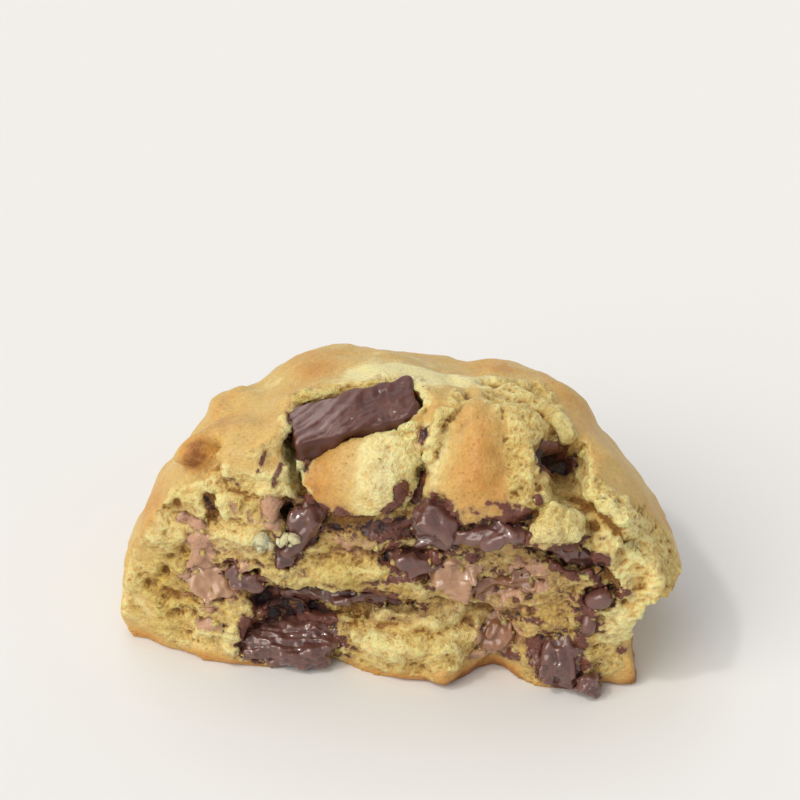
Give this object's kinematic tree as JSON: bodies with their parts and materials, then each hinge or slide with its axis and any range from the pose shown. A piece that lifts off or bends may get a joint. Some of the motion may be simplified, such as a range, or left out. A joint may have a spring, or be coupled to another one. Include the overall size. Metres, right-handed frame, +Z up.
{
  "type": "torn half of a chocolate chunk cookie",
  "caption": "Thick domed cookie torn in half, with crust plates sagging over the crumb and melted chocolate in the tear; rests on its flat underside.",
  "frame": {"origin": "on the flat underside, in the middle of the torn edge, a few millimetres behind it", "axes": "+Z up from the flat underside, +X to the right along the torn face, the torn face looks along -Y"},
  "size_m": [0.0983, 0.0653, 0.0505],
  "materials": {
    "dough": "baked golden crust over soft yellow crumb, matte",
    "dark_chocolate": "half melted dark chocolate, satin to wet gloss",
    "milk_chocolate": "melted milk chocolate smeared into the crumb, satin"
  },
  "bodies": {
    "root": {"dough": "dough", "chocolate_slab": "dark_chocolate", "melted_pool_left": "dark_chocolate", "melted_seam": "dark_chocolate", "small_chunk_left": "dark_chocolate", "melted_smear_left": "dark_chocolate", "chunk_middle_upper": "dark_chocolate", "chunk_middle_lower": "dark_chocolate", "melted_drop_middle": "dark_chocolate", "melted_lip_right": "dark_chocolate", "melted_band_right": "dark_chocolate", "chip_right": "dark_chocolate", "chip_right_lower": "dark_chocolate", "chunk_bottom_right": "dark_chocolate", "crumb_foot_right": "dark_chocolate", "milk_smear_middle": "milk_chocolate", "milk_smear_right": "milk_chocolate", "milk_flake_lower": "milk_chocolate", "milk_smear_left": "milk_chocolate"}
  },
  "joints": []
}
